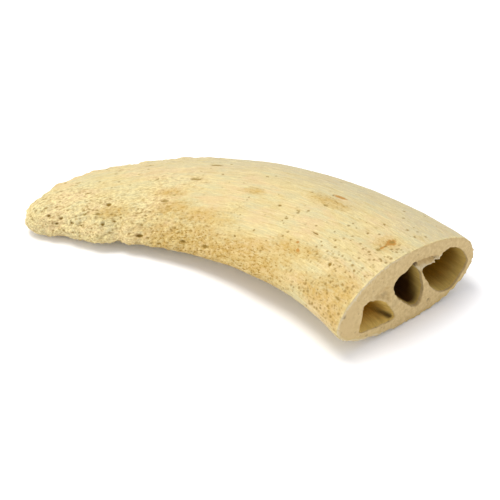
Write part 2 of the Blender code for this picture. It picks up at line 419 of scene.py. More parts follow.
def pitNoise(points, seed, kept, smallest, largest):  # 0 to 1: bowls round a random point of some grid cells
    base = np.floor(points).astype(np.int64)
    deepest = np.zeros(len(points))
    for turn in range(27):
        cell = base + np.array([turn % 3 - 1, turn // 3 % 3 - 1, turn // 9 - 1])
        centre = cell + np.stack([scattered(cell, seed + k) for k in (1, 2, 3)], -1)
        radius = smallest + (largest - smallest) * scattered(cell, seed + 4) ** 2
        bowl = np.clip(1 - (np.linalg.norm(points - centre, axis=1) / radius) ** 2, 0, 1)
        deepest = np.maximum(deepest, bowl * (scattered(cell, seed) < kept))
    return deepest


# Building the skin, the sawn end and the chamber walls
def ringStations():  # fine at the rim, even along the bone, fine again round the blunt tip
    length = boneShape["arcLength"] * 1000
    rim = np.array([0, 0.25, 0.5, 0.8, 1.2, 1.7]) / length
    tipStart = 1 - boneShape["heightClosesOver"]
    count = int((tipStart - rim[-1]) * length / skinMesh["ringStepMm"])
    body = np.linspace(rim[-1], tipStart, count + 1)[1:-1]
    tip = 1 - boneShape["heightClosesOver"] * (1 - np.sin(np.linspace(0, np.pi / 2, 16)[:-1]))
    return np.concatenate([rim, body, tip])


def columnAngles():  # evenly spaced by girth, a little closer on the upper side
    fine = np.linspace(0, 2 * np.pi, 2001)
    skin, _ = boneSkin(np.full((1, 1), 0.35), fine[None, :])
    step = np.linalg.norm(np.diff(skin[0], axis=0), axis=1)
    step = step * np.where(np.sin((fine[1:] + fine[:-1]) / 2) > 0, skinMesh["upperShare"], 1)
    gone = np.concatenate([[0], np.cumsum(step)])
    return np.interp(np.linspace(0, gone[-1], skinMesh["pointsRound"] + 1)[:-1], gone, fine)


def cellLoops(rim):  # the three closed loops round the chambers: stretches of rim joined by the partitions
    def nearest(point):
        return int(np.linalg.norm(rim - np.array(point), axis=1).argmin())

    lines, ends = {}, {}
    for side in ("near", "far"):
        knots = list(sawnEnd[side + "Partition"])
        top, bottom = nearest(knots[0]), nearest(knots[-1])
        knots[0], knots[-1] = tuple(rim[top]), tuple(rim[bottom])
        lines[side] = openCurve(knots, skinMesh["partitionPoints"])
        ends[side] = (top, bottom)
    nearTop, nearBottom = ends["near"]
    farTop, farBottom = ends["far"]
    count = len(rim)

    def stretch(first, last):
        picked = np.arange(first, last + 1) % count
        return rim[picked], np.ones(len(picked))

    def joined(*pieces):
        return np.concatenate([p[0] for p in pieces]), np.concatenate([p[1] for p in pieces])

    down = {side: (line, np.zeros(len(line))) for side, line in lines.items()}
    up = {side: (line[::-1], np.zeros(len(line))) for side, line in lines.items()}
    return {
        "near": joined(stretch(nearTop, nearBottom), up["near"]),
        "middle": joined(stretch(farTop, nearTop), down["near"], stretch(nearBottom, farBottom), up["far"]),
        "far": joined(stretch(farBottom, farTop + count), down["far"]),
    }


def mouthPoints(loop, chamber):  # the points of the chamber's outline on the rays to the loop's points
    centre = np.array(chamber["centre"])
    outline = closedCurve(chamber["outline"], 900) - centre
    angle = np.arctan2(outline[:, 1], outline[:, 0])
    order = np.argsort(angle)
    ray = loop - centre
    wanted = np.arctan2(ray[:, 1], ray[:, 0])
    radius = np.interp(wanted, angle[order], np.hypot(*outline.T)[order], period=2 * np.pi)
    around = np.column_stack([np.cos(wanted), np.sin(wanted), np.zeros(len(wanted))]) * radius[:, None]
    radius = radius + sawnEnd["mouthRough"] * softNoise(around / sawnEnd["mouthGrain"], 25)
    for place, width, length in chamber.get("splinters", ()):
        at = np.arctan2(place[1] - centre[1], place[0] - centre[0])
        off = np.abs((wanted - at + np.pi) % (2 * np.pi) - np.pi) * radius
        radius = radius - length * np.clip(1 - off / width, 0, 1)
    return centre + radius[:, None] * np.stack([np.cos(wanted), np.sin(wanted)], -1)


def gapToLine(points, knots):  # distance from each point to the broken line through the knots
    start = np.array(knots[:-1])
    run = np.array(knots[1:]) - start
    to = points[:, None, :] - start[None]
    t = np.clip((to * run).sum(-1) / (run * run).sum(-1), 0, 1)
    return np.linalg.norm(to - t[..., None] * run, axis=-1).min(1)


def recessAt(points):  # how far the sawn end is broken back at (y, z)
    at = np.column_stack([points * 1000, np.zeros(len(points))])
    ragged = sawnEnd["ledgeRagged"] * softNoise(at / 1.1, 21)
    ledge = eased(insideBy(points, sawnEnd["ledge"]) + ragged, -0.0002, 0.0004)
    slope = sawnEnd["ledgeSlope"] * (points[:, 1] - sawnEnd["ledgeFoot"]) + 0.3 * ragged
    ledge = ledge * np.clip(slope + sawnEnd["ledgeAtFoot"], *sawnEnd["ledgeDepths"])
    crack = np.clip(1 - gapToLine(points, sawnEnd["crack"]) / sawnEnd["crackWidth"], 0, 1)
    hollow = eased(insideBy(points, sawnEnd["hollow"]), -0.0005, 0.0020)
    gone = np.linalg.norm(points - np.array(sawnEnd["smallPit"]), axis=1) / sawnEnd["smallPitSize"]
    pit = np.clip(1 - gone**2, 0, 1)
    worn = 0.00012 * softNoise(at / 2.4, 22) + 0.00006 * softNoise(at / 0.9, 23)
    carved = sawnEnd["crackDepth"] * crack + sawnEnd["hollowDepth"] * hollow + sawnEnd["smallPitDepth"] * pit
    return ledge + carved + worn


# Painted shade on the chamber walls: along the near chamber's crease, and deepening with depth
wallShade = {
    "creaseReach": 0.0017,
    "creaseEnds": (0.003, 0.015),
    "gloomDeepens": (0.002, 0.013),
    "sideReach": 0.010,
    "sideCounts": 0.008,  # the painted-dark side of a mouth counts as this much deeper in the painted shade
}


def chamberPatch(chamber, loop, onRim):  # rings from the loop to the mouth, then down the chamber
    mouth = mouthPoints(loop, chamber)
    reach = np.linalg.norm(mouth - loop, axis=1)
    below0 = sectionSizes(np.zeros(1))[2]
    rings, straights, softness, yellowAndShade, kinds = [], [], [], [], []
    for t in (1 - np.cos(np.pi * np.linspace(0, 1, skinMesh["faceSteps"] + 1))) / 2:
        flat = loop + (mouth - loop) * t
        recess = recessAt(flat) * np.where(t == 0, 1 - onRim, 1)
        plane = placeOnBone(np.zeros(len(flat)), flat[:, 0], flat[:, 1])
        rings.append(plane - recess[:, None] * np.array([1, 0, 0]))
        straights.append(np.column_stack([recess, flat[:, 0], flat[:, 1] - below0]))
        mouthSoft = sawnEnd["mouthShare"] * fading((1 - t) * reach, sawnEnd["mouthReach"])
        softness.append(np.maximum(onRim * fading(t * reach, sawnEnd["rimReach"]), mouthSoft))
        # the yellowed rim, a real stain; the wall rings below carry painted shade
        yellowAndShade.append(np.column_stack([onRim * fading(t * reach, sawnEnd["yellowReach"]), 0 * reach]))
        kinds.append(1)
    recess = recessAt(mouth)
    end = np.array(chamber["closesTo"])
    bluntness = chamber["bluntness"]
    first = sectionSizes(np.zeros(1))
    crease = int(np.linalg.norm(mouth - np.array(chamber.get("crease", end)), axis=1).argmin())
    toward = (mouth - np.array(chamber["centre"])) @ np.array(chamber.get("gloomSide", (0, 0)))
    shaded = np.clip(toward / wallShade["sideReach"], 0, 1)
    for share in 1 - (1 - np.linspace(0, 1, skinMesh["wallSteps"] + 1)[1:]) ** 1.25:
        deep = recess + share * (chamber["depth"] - recess)
        width, above, below = sectionSizes(deep / boneShape["arcLength"])
        closed = (1 - share**bluntness) ** min(1, 1.3 / bluntness)
        flat = end + (mouth - end) * closed
        sideways = flat[:, 0] * width / first[0]
        height = flat[:, 1] * (above + below) / (first[1] + first[2])
        rings.append(placeOnBone(deep / boneShape["arcLength"], sideways, height))
        straights.append(np.column_stack([deep, sideways, height - below]))
        softness.append(sawnEnd["mouthShare"] * fading(deep - recess, sawnEnd["mouthReach"]))
        # painted shade along the near chamber's crease, fading with depth
        dirt = fading(np.linalg.norm(flat - flat[crease], axis=1), wallShade["creaseReach"])
        dirt = dirt * ("crease" in chamber) * (1 - eased(deep, *wallShade["creaseEnds"]))
        # painted shade deepening into the chamber, from the very mouth on its shaded side
        gloom = chamber["gloom"] * eased(deep + wallShade["sideCounts"] * shaded, *wallShade["gloomDeepens"])
        yellowAndShade.append(np.column_stack([dirt, gloom]))
        kinds.append(2)
    return rings, straights, softness, yellowAndShade, kinds


def boneMesh():  # all patches welded into one closed surface: points, faces and what each is made of
    along, theta = ringStations(), columnAngles()
    skin, straight = boneSkin(along[:, None], theta[None, :])
    rimPlane = skin[0][:, 1:] - np.array([boneShape["sawnEndAt"][1], 0])
    points, straights, softs, yellowAndShadeParts, facePieces, kinds = [], [], [], [], [], []
    count = 0

    def addGrid(rings, flats, soft, dirt, ringKinds, flip, poleAt):
        nonlocal count
        rows, columns = len(rings), len(rings[0])
        index = count + np.arange(rows * columns).reshape(rows, columns)
        turned = np.roll(index, -1, axis=1)
        quads = np.stack([index[:-1], turned[:-1], turned[1:], index[1:]], -1).reshape(-1, 4)
        pole = count + rows * columns
        fan = np.stack([index[-1], turned[-1], np.full(columns, pole), np.full(columns, pole)], -1)
        faces = np.concatenate([quads, fan])
        if flip:
            faces = faces[:, [1, 0, 3, 2]]
        points.extend([np.concatenate(rings), poleAt[0][None]])
        straights.extend([np.concatenate(flats), poleAt[1][None]])
        softs.extend([np.concatenate(soft), np.zeros(1)])
        yellowAndShadeParts.extend([np.concatenate(dirt), dirt[-1][:1]])
        facePieces.append(faces)
        kinds.append(np.concatenate([np.repeat(ringKinds[1:], columns), np.full(columns, ringKinds[-1])]))
        count = pole + 1

    tip, tipStraight = boneSkin(np.ones((1, 1)), np.zeros((1, 1)))
    edgeSoft = fading(along * boneShape["arcLength"], sawnEnd["rimReach"])[:, None] * np.ones(len(theta))
    unmarked = list(np.zeros((*edgeSoft.shape, 2)))
    tipAt = (tip[0, 0], tipStraight[0, 0])
    addGrid(list(skin), list(straight), list(edgeSoft), unmarked, [0] * len(skin), True, tipAt)
    for name, (loop, onRim) in cellLoops(rimPlane).items():
        rings, flats, soft, dirt, ringKinds = chamberPatch(chambers[name], loop, onRim)
        end = (rings[-1].mean(0), flats[-1].mean(0))
        addGrid(rings[:-1], flats[:-1], soft[:-1], dirt[:-1], ringKinds[:-1], False, end)

    points, straights = np.concatenate(points), np.concatenate(straights)
    softs, yellowAndShadeParts = np.concatenate(softs), np.concatenate(yellowAndShadeParts)
    faces, kinds = np.concatenate(facePieces), np.concatenate(kinds)
    _, first, same = np.unique(np.round(points, 8), axis=0, return_index=True, return_inverse=True)
    return points[first], straights[first], softs[first], yellowAndShadeParts[first], same.reshape(-1)[faces], kinds


def softened(points, faces, softness, rounds):  # rounds the sawn edges: points move to their neighbours' mean
    starts = faces.reshape(-1)
    ends = np.roll(faces, -1, axis=1).reshape(-1)
    real = starts != ends
    starts, ends = starts[real], ends[real]
    degree = np.bincount(starts, minlength=len(points)).astype(float)
    for _ in range(rounds):
        total = np.stack([np.bincount(starts, points[ends, k], len(points)) for k in range(3)], -1)
        points = points + (total / degree[:, None] - points) * (0.6 * softness)[:, None]
    return points


def outwardNormals(points, faces):
    a, b, c, d = (points[faces[:, k]] for k in range(4))
    flat = np.cross(c - a, d - b)
    total = np.stack(
        [sum(np.bincount(faces[:, k], flat[:, axis], len(points)) for k in range(4)) for axis in range(3)], -1
    )
    return total / np.maximum(np.linalg.norm(total, axis=1), 1e-12)[:, None]


# Marks seen on the bone: along, across, then length, width and depth in mm
boneMarks = {
    "pits": (
        (0.955, -0.65, 2.2, 1.2, 0.7),
        (0.943, -0.88, 2, 1.3, 0.9),
        (0.929, -0.74, 3, 1.3, 0.9),
        (0.908, -0.84, 1.7, 1.3, 0.7),
        (0.885, -0.88, 1.6, 1.3, 0.9),
        (0.866, 0.36, 2.6, 1.1, 0.6),
        (0.825, -0.85, 2.3, 1.7, 1),
        (0.803, -0.49, 3.6, 2.2, 0.9),
        (0.791, -0.81, 1.6, 1.2, 0.7),
        (0.773, -0.75, 1.6, 1.1, 0.6),
        (0.716, -0.97, 6, 1.9, 1.1),
        (0.608, -0.86, 1.6, 1.3, 0.7),
        (0.574, -0.97, 4, 1.8, 0.9),
        (0.499, -0.97, 6.4, 1.6, 0.8),
        (0.439, 0.24, 1.8, 1.1, 0.6),
        (0.416, -0.82, 1.8, 1.3, 0.7),
        (0.356, -0.21, 2.4, 1.5, 0.7),
        (0.210, -0.41, 5.6, 1.2, 0.6),
        (0.119, 0.03, 1.6, 1.3, 0.6),
        (0.119, 0.24, 1.5, 1.2, 0.6),
        (0.110, -0.65, 2.8, 2, 0.7),
    ),
    "streaks": (
        (0.850, -0.14, 4, 1.2, 0.3),
        (0.715, 0.48, 5, 1.4, 0.3),
        (0.686, 0.01, 1.8, 1.3, 0.3),
        (0.653, -0.50, 6, 1.8, 0.3),
        (0.633, -0.39, 2.4, 1.2, 0.3),
        (0.593, -0.03, 7, 2, 0.3),
        (0.566, 0.38, 7, 1.8, 0.3),
        (0.304, -0.19, 3, 1.1, 0.2),
        (0.314, -0.38, 2.4, 1.8, 0.1),
        (0.280, -0.56, 2, 1.4, 0.1),
        (0.868, -0.66, 4.4, 1.4, 0.4),
        (0.836, -0.68, 4, 1.3, 0.4),
        (0.045, -0.63, 1.6, 1.4, 0.4),
        (0.035, -0.86, 3, 1.6, 0.5),
        (0.040, 0.31, 2.6, 1.6, 0.1),
        (0.025, -0.23, 1.8, 1.4, 0.1),
        (0.056, -0.12, 2.6, 2.8, 0.1),
        (0.057, 0.095, 3.2, 2.6, 0.2),
        (0.262, 0.08, 3, 1.6, 0.1),
    ),
    "rust": (
        (0.057, 0.085, 5.6, 5.2, 0.15),
        (0.055, -0.02, 1.8, 6.5, 0),
        (0.257, 0.29, 7, 2.8, 0),
        (0.215, -0.70, 3.6, 1.8, 0.1),
        (0.232, -0.62, 2.6, 1.8, 0.1),
    ),
    "ochre": (
        (0.439, -0.09, 11, 5, 0),
        (0.330, -0.82, 26, 7, 0),
        (0.245, -0.72, 26, 10, 0),
        (0.177, -0.66, 20, 7, 0),
        (0.040, -0.82, 30, 22, 0),
        (0.075, -0.90, 20, 14, 0),
        (0.025, -0.96, 22, 14, 0),
        (0.105, -0.92, 30, 12, 0),
        (0.058, 0.04, 12, 13, 0),
        (0.560, -0.95, 60, 8, 0),
        (0.540, -0.70, 44, 11, 0),
        (0.645, -0.35, 22, 6, 0),
        (0.620, -0.62, 26, 12, 0),
        (0.790, -0.66, 26, 8, 0),
        (0.265, 0.16, 24, 8, 0),
    ),
}


def markField(straight, marks):  # 0 to 1 inside each mark, an ellipse with a ragged edge on the upper side
    ragged = 0.45 * softNoise(straight * 1000 / 0.9, 33)
    strongest, carved = np.zeros(len(straight)), np.zeros(len(straight))
    for along, across, lengthMm, widthMm, depthMm in marks:
        angle = np.arccos(np.clip(across, -1, 1))
        _, centre = boneSkin(np.full((1, 1), along), np.full((1, 1), angle))
        gap = (straight - centre[0, 0]) * 1000
        sideways = np.hypot(gap[:, 1], gap[:, 2])
        q = (gap[:, 0] / (lengthMm / 2)) ** 2 + (sideways / (widthMm / 2)) ** 2
        bowl = np.clip(1 - q * (1 + ragged) / 1.6, 0, 1)
        strongest = np.maximum(strongest, bowl)
        carved = np.maximum(carved, bowl * depthMm)
    return strongest, carved


# Relief of the surfaces: height, grain along the bone and round it, all in mm, and the seed
surfaceRelief = {
    "broad": (0.24, 17, 17, 1),
    "dents": (0.12, 7, 7, 2),
    "grooves": (0.10, 13, 1.9, 3),
    "lumps": (0.05, 1.7, 1.7, 4),
    "spongy": (0.14, 3.2, 1.8, 5),
    "crumbs": (0.60, 1.2, 1.2, 6),
    "wallFolds": (0.50, 16, 4.5, 7),
    "tipRagged": (0.75, 2.6, 1.4, 8),
}
spongyPitsMm = 0.38
edgeRounds = 7

# Where the zones of the bone begin and end, along it or across it
zoneEdges = {
    "spongyAlong": (0.40, 0.86),
    "poredAcross": (-0.30, 0.60),
    "poredAlong": (0.10, 0.29),
    "edgeAcross": (0.60, 0.96),
    "edgeBegins": (0.12, 0.30),
    "edgeEnds": (0.62, 0.80),
    "paleAcross": (-0.05, 0.60),
    "paleEnds": (0.55, 0.90),
}


def grained(mm, name):  # one kind of relief, drawn out along the bone
    height, alongMm, roundMm, seed = surfaceRelief[name]
    return height * softNoise(mm / np.array([alongMm, roundMm, roundMm]), seed)


def zonesOf(straight, width):  # where the bone is spongy, pored, stained at its edge or pale
    along = straight[:, 0] / boneShape["arcLength"]
    across = np.clip(straight[:, 1] / np.maximum(width, 1e-4), -1, 1)
    wander = 0.10 * softNoise(straight / 0.016, 31) + 0.05 * softNoise(straight / 0.006, 32)
    spongy = eased(along + wander * 1.4 - 0.30 * (across + 0.35), *zoneEdges["spongyAlong"])
    pored = eased(-across + wander * 2, *zoneEdges["poredAcross"])
    pored = pored * (1 - eased(along + wander, *zoneEdges["poredAlong"]))
    edge = eased(-across + wander, *zoneEdges["edgeAcross"]) * eased(along, *zoneEdges["edgeBegins"])
    edge = edge * (1 - eased(along, *zoneEdges["edgeEnds"]))
    pale = eased(across + wander * 1.5, *zoneEdges["paleAcross"]) * (1 - eased(along, *zoneEdges["paleEnds"]))
    return spongy, pored, edge, pale


def sawnMarksOf(straight, yellowAndShade, cut):  # on the sawn end: yellowed rim, chalky lips and burr, stains and painted shade; on the walls, painted shade
    at = straight[:, 1:] + np.array([0, sectionSizes(np.zeros(1))[2][0]])
    ragged = 0.0005 * softNoise(np.column_stack([at * 1000, np.zeros(len(at))]) / 0.8, 27)
    lip = eased(gapToLine(at, sawnEnd["lip"]) + ragged, *sawnEnd["lipEdge"])
    burr = eased(gapToLine(at, sawnEnd["burr"]) + 1.6 * ragged, *sawnEnd["burrEdge"])
    # a dark line of painted shade along the crack
    crack = eased(gapToLine(at, sawnEnd["crack"]), sawnEnd["crackWidth"], 0.0001)
    spots = np.zeros(len(at))
    for y, z, size, strength in sawnEnd["spots"]:
        reach = np.linalg.norm(at - np.array([y, z]), axis=1) + ragged
        spots = np.maximum(spots, strength * eased(reach, size, 0.3 * size))
    frayed = eased(yellowAndShade[:, 0] + 500 * ragged, 0.45, 0.80) * eased(-at[:, 0], -0.006, 0.014)
    chalky = np.maximum(np.maximum(lip, burr), 0.75 * frayed)
    low = 1 - eased(at[:, 1], *sawnEnd["yellowHeights"])
    # on the walls this channel carries the painted shade of the near chamber's crease
    yellowed = np.where(cut, yellowAndShade[:, 0] * low, yellowAndShade[:, 0])
    # stains and painted shade: the crack line and the spots on the sawn end, the deepening painted shade on
    # the walls
    dirt = np.where(cut, np.maximum(0.8 * crack, spots), yellowAndShade[:, 1])
    return np.column_stack([yellowed, chalky * cut, dirt])


def buildBone():
    points, straight, softness, yellowAndShade, faces, kinds = boneMesh()
    points = softened(points, faces, softness, edgeRounds)
    normals = outwardNormals(points, faces)
    count = len(points)
    outer, cut, wall = (np.bincount(faces[kinds == k].reshape(-1), minlength=count) > 0 for k in range(3))
    width = sectionSizes(straight[:, 0] / boneShape["arcLength"])[0]
    spongy, pored, edge, pale = zonesOf(straight, width)
    mm = straight * 1000
    tint = {name: markField(straight, marks) for name, marks in boneMarks.items()}
    carved = np.max([tint[name][1] for name in ("pits", "streaks", "rust")], axis=0)
    spongyPits = pitNoise(mm / np.array([3.4, 2.0, 2.0]), 40, 0.40, 0.20, 0.50) * spongy

    shell = grained(mm, "broad") + grained(mm, "dents") + grained(mm, "grooves") * (1 - 0.6 * spongy)
    shell += grained(mm, "lumps") + grained(mm, "spongy") * spongy
    rim = eased(np.abs(straight[:, 1]) / np.maximum(width, 1e-4), 0.35, 0.75) * eased(mm[:, 0], 95, 150)
    shell += grained(mm, "tipRagged") * rim
    shell -= carved + spongyPitsMm * spongyPits
    shell *= 0.25 + 0.75 * eased(straight[:, 0], 0.0, 0.006)
    crumbs = softness * (grained(mm, "crumbs") - 0.4 * surfaceRelief["crumbs"][0])
    folds = grained(mm, "wallFolds") * eased(straight[:, 0], 0.0005, 0.006)
    raised = np.where(wall, folds, 0) + np.where(outer, shell, 0) + crumbs
    points = points + normals * raised[:, None] / 1000
    points = np.clip(points, *np.array(cadBox))  # no swell leaves the CAD solid's box

    mesh = bpy.data.meshes.new("hornCore")
    corners = [list(dict.fromkeys(row)) for row in faces.tolist()]  # the fans at the poles are triangles
    mesh.from_pydata(points.tolist(), [], corners)
    addField(mesh, "boneCoord", mm)
    addField(mesh, "boneZones", np.column_stack([spongy, pored, pale]) * outer[:, None])
    stains = np.column_stack([tint[name][0] for name in ("ochre", "rust", "streaks")])
    stains[:, 0] = np.maximum(stains[:, 0], edge)
    addField(mesh, "boneStains", stains * outer[:, None])
    pits = np.maximum(tint["pits"][0], 0.7 * spongyPits)
    addField(mesh, "bonePits", np.column_stack([pits, softness, edge]) * outer[:, None])
    addField(mesh, "sawnMarks", sawnMarksOf(straight, yellowAndShade, cut))
    mesh.polygons.foreach_set("material_index", kinds.astype(np.int32))
    mesh.polygons.foreach_set("use_smooth", np.ones(len(corners), bool))
    mesh.validate()
    mesh.update()
    piece = bpy.data.objects.new("hornCore", mesh)
    bpy.context.scene.collection.objects.link(piece)
    print("bone built:", count, "points,", 2 * len(faces), "triangles at most")
    return piece


def addField(mesh, name, values):
    field = mesh.attributes.new(name, "FLOAT_VECTOR", "POINT")
    field.data.foreach_set("vector", np.ascontiguousarray(values, dtype=np.float32).reshape(-1))


# Finishes
weatheredBone = {
    "cream": (0.585, 0.472, 0.222),
    "blush": (0.605, 0.458, 0.238),
    "green": (0.520, 0.472, 0.262),
    "grey": (0.470, 0.422, 0.276),
    "chalk": (0.770, 0.655, 0.310),
    "ochre": (0.470, 0.292, 0.058),
    "rust": (0.400, 0.185, 0.020),
    "streak": (0.240, 0.155, 0.020),
    "thread": (0.420, 0.305, 0.090),
    "hollow": (0.310, 0.180, 0.022),
    # pore: the dark of pits and holes, partly dirt in them, partly painted shade
    "pore": (0.240, 0.145, 0.018),
    "roughness": 0.72,
    "poreSize": 0.40,
    # how much each coat covers of the colours under it
    "veilShare": 0.75,
    "paleShare": 0.65,
    "fibreShare": 0.17,
    "threadShare": 0.50,
    "lineShare": 0.34,
    "ochreShare": 0.80,
    "edgeShare": 0.20,
    "rustShare": 0.90,
    "streakShare": 0.80,
    "poreShare": 0.80,
}

sawnBone = {
    "plain": (0.540, 0.385, 0.162),
    "mottled": (0.650, 0.490, 0.228),
    "grey": (0.600, 0.438, 0.198),
    "yellowed": (0.540, 0.390, 0.130),
    "chalk": (0.700, 0.600, 0.380),
    # darkens real stains and painted shade: the crack line and the shaded spots
    "dirt": (0.130, 0.085, 0.035),
    "pore": (0.290, 0.190, 0.080),
    "roughness": 0.66,
    "poreSize": 0.24,
    "greyShare": 0.80,
    "poreShare": 0.45,
}

sinusLining = {
    # mouth to inner: paler near the mouth as painted light, browner further in as painted shade; the two
    # darkest colours are painted shade, deep in the chambers and along the near chamber's crease
    "mouth": (0.740, 0.540, 0.160),
    "inner": (0.510, 0.270, 0.012),
    # deep: painted shade far inside the chambers
    "deep": (0.085, 0.034, 0.006),
    "streak": (0.300, 0.175, 0.020),
    "dirt": (0.070, 0.035, 0.006),
    "roughness": 0.75,
    "streakShare": 0.32,
    "dirtShare": 0.85,
}


def addNode(tree, kind, **settings):
    node = tree.nodes.new(kind)
    for name, value in settings.items():
        setattr(node, name, value)
    return node


def feed(tree, node, socket, value):  # a link where value is a socket, or else a plain value
    if isinstance(value, bpy.types.NodeSocket):
        tree.links.new(value, node.inputs[socket])
    else:
        node.inputs[socket].default_value = value


def math(tree, operation, *values):  # the values joined one after another by the operation
    result = values[0]
    for value in values[1:]:
        node = addNode(tree, "ShaderNodeMath", operation=operation)
        feed(tree, node, 0, result)
        feed(tree, node, 1, value)
        result = node.outputs[0]
    return result


def times(tree, *values):
    return math(tree, "MULTIPLY", *values)


def ramped(tree, value, low, high):  # 0 at low, 1 at high, smooth between
    node = addNode(tree, "ShaderNodeMapRange", interpolation_type="SMOOTHSTEP", clamp=True)
    feed(tree, node, "Value", value)
    feed(tree, node, "From Min", low)
    feed(tree, node, "From Max", high)
    return node.outputs["Result"]


def blended(tree, factor, first, second):
    node = addNode(tree, "ShaderNodeMix", data_type="RGBA", clamp_factor=True)
    feed(tree, node, 0, factor)
    feed(tree, node, 6, first if isinstance(first, bpy.types.NodeSocket) else (*first, 1))
    feed(tree, node, 7, second if isinstance(second, bpy.types.NodeSocket) else (*second, 1))
    return node.outputs[2]


def field(tree, name):
    node = addNode(tree, "ShaderNodeAttribute", attribute_name=name, attribute_type="GEOMETRY")
    return node.outputs["Vector"]


def partsOf(tree, vector):
    node = addNode(tree, "ShaderNodeSeparateXYZ")
    tree.links.new(vector, node.inputs[0])
    return node.outputs


def inCells(tree, coords, cellMm):  # coordinates counted in cells of this size
    scaled = addNode(tree, "ShaderNodeVectorMath", operation="DIVIDE")
    tree.links.new(coords, scaled.inputs[0])
    scaled.inputs[1].default_value = cellMm
    return scaled.outputs[0]


def noiseAt(tree, coords, cellMm, detail=3.0, roughness=0.55):
    node = addNode(tree, "ShaderNodeTexNoise")
    tree.links.new(inCells(tree, coords, cellMm), node.inputs["Vector"])
    node.inputs["Scale"].default_value = 1.0
    node.inputs["Detail"].default_value = detail
    node.inputs["Roughness"].default_value = roughness
    return node.outputs["Fac"]


def newGroup(name, inputs, outputs):
    tree = bpy.data.node_groups.new(name, "ShaderNodeTree")
    for label, value in inputs.items():
        socket = tree.interface.new_socket(label, in_out="INPUT", socket_type="NodeSocketFloat")
        socket.default_value = value
    for label in outputs:
        tree.interface.new_socket(label, in_out="OUTPUT", socket_type="NodeSocketFloat")
    return tree, addNode(tree, "NodeGroupInput"), addNode(tree, "NodeGroupOutput")


def fibreGroup():  # long fine streaks that follow the bone
    tree, _, out = newGroup("boneFibres", {}, ("Streaks", "Threads", "Lines"))
    coords = field(tree, "boneCoord")
    streaks = noiseAt(tree, coords, (18.0, 1.5, 1.5), detail=4.0, roughness=0.62)
    threads = noiseAt(tree, coords, (7.0, 0.45, 0.45), detail=3.0, roughness=0.6)
    lines = noiseAt(tree, coords, (9.0, 0.8, 0.8), detail=2.0)
    tree.links.new(ramped(tree, streaks, 0.36, 0.66), out.inputs["Streaks"])
    tree.links.new(threads, out.inputs["Threads"])
    tree.links.new(ramped(tree, lines, 0.56, 0.68), out.inputs["Lines"])
    return tree


def mottleGroup():  # soft patches and fine grain
    tree, _, out = newGroup("boneMottle", {}, ("Patches", "Veils", "Grain", "Specks", "Sponge"))
    coords = field(tree, "boneCoord")
    patches = noiseAt(tree, coords, (30.0, 11.0, 11.0), detail=3.0)
    veils = noiseAt(tree, coords, (17.0, 5.0, 5.0), detail=3.0)
    tree.links.new(ramped(tree, patches, 0.40, 0.62), out.inputs["Patches"])
    tree.links.new(ramped(tree, veils, 0.44, 0.64), out.inputs["Veils"])
    for label, cellMm, roughness in (
        ("Grain", (1.0, 0.75, 0.75), 0.7),
        ("Specks", (3.4, 2.2, 2.2), 0.7),
        ("Sponge", (1.9, 0.85, 0.85), 0.6),
    ):
        tree.links.new(noiseAt(tree, coords, cellMm, roughness=roughness), out.inputs[label])
    return tree


def poreGroup():  # small holes: Amount sets how many, Size how wide, as a share of a cell
    tree, given, out = newGroup("bonePores", {"Amount": 0.3, "Size": 0.3}, ("Round", "Long"))
    coords = field(tree, "boneCoord")
    for label, cellMm in (("Round", (1.9, 1.7, 1.7)), ("Long", (2.6, 1.3, 1.3))):
        cells = addNode(tree, "ShaderNodeTexVoronoi", feature="F1", voronoi_dimensions="3D")
        tree.links.new(inCells(tree, coords, cellMm), cells.inputs["Vector"])
        cells.inputs["Scale"].default_value = 1.0
        chance = partsOf(tree, cells.outputs["Color"])
        there = math(tree, "LESS_THAN", chance[0], given.outputs["Amount"])
        radius = times(tree, given.outputs["Size"], math(tree, "ADD", 0.40, chance[1]))
        hole = ramped(tree, math(tree, "DIVIDE", cells.outputs["Distance"], radius), 1.35, 0.25)
        tree.links.new(times(tree, hole, there), out.inputs[label])
    return tree


def useGroup(tree, group, **values):
    node = addNode(tree, "ShaderNodeGroup", node_tree=group)
    for name, value in values.items():
        feed(tree, node, name, value)
    return node.outputs


def newMaterial(name, roughness):
    material = bpy.data.materials.new(name)
    material.use_nodes = True
    tree = material.node_tree
    shader = tree.nodes["Principled BSDF"]
    shader.inputs["Roughness"].default_value = roughness
    shader.inputs["Specular IOR Level"].default_value = 0.35
    return material, tree, shader


def bumped(tree, shader, height, reach):
    bump = addNode(tree, "ShaderNodeBump")
    bump.inputs["Strength"].default_value = 1.0
    bump.inputs["Distance"].default_value = reach
    tree.links.new(height, bump.inputs["Height"])
    tree.links.new(bump.outputs["Normal"], shader.inputs["Normal"])


def torn(tree, mark, noise, strength):  # a mark whose edge is broken up by the noise
    frayed = math(tree, "ADD", mark, times(tree, math(tree, "SUBTRACT", noise, 0.5), 1.3))
    return times(tree, ramped(tree, frayed, 0.20, 0.80), ramped(tree, mark, 0.0, 0.35), strength)


def painted(tree, shader, look, colour, coats):  # coats over the colour: how much of each, and its name
    for amount, name in coats:
        colour = blended(tree, amount, colour, look[name])
    tree.links.new(colour, shader.inputs["Base Color"])


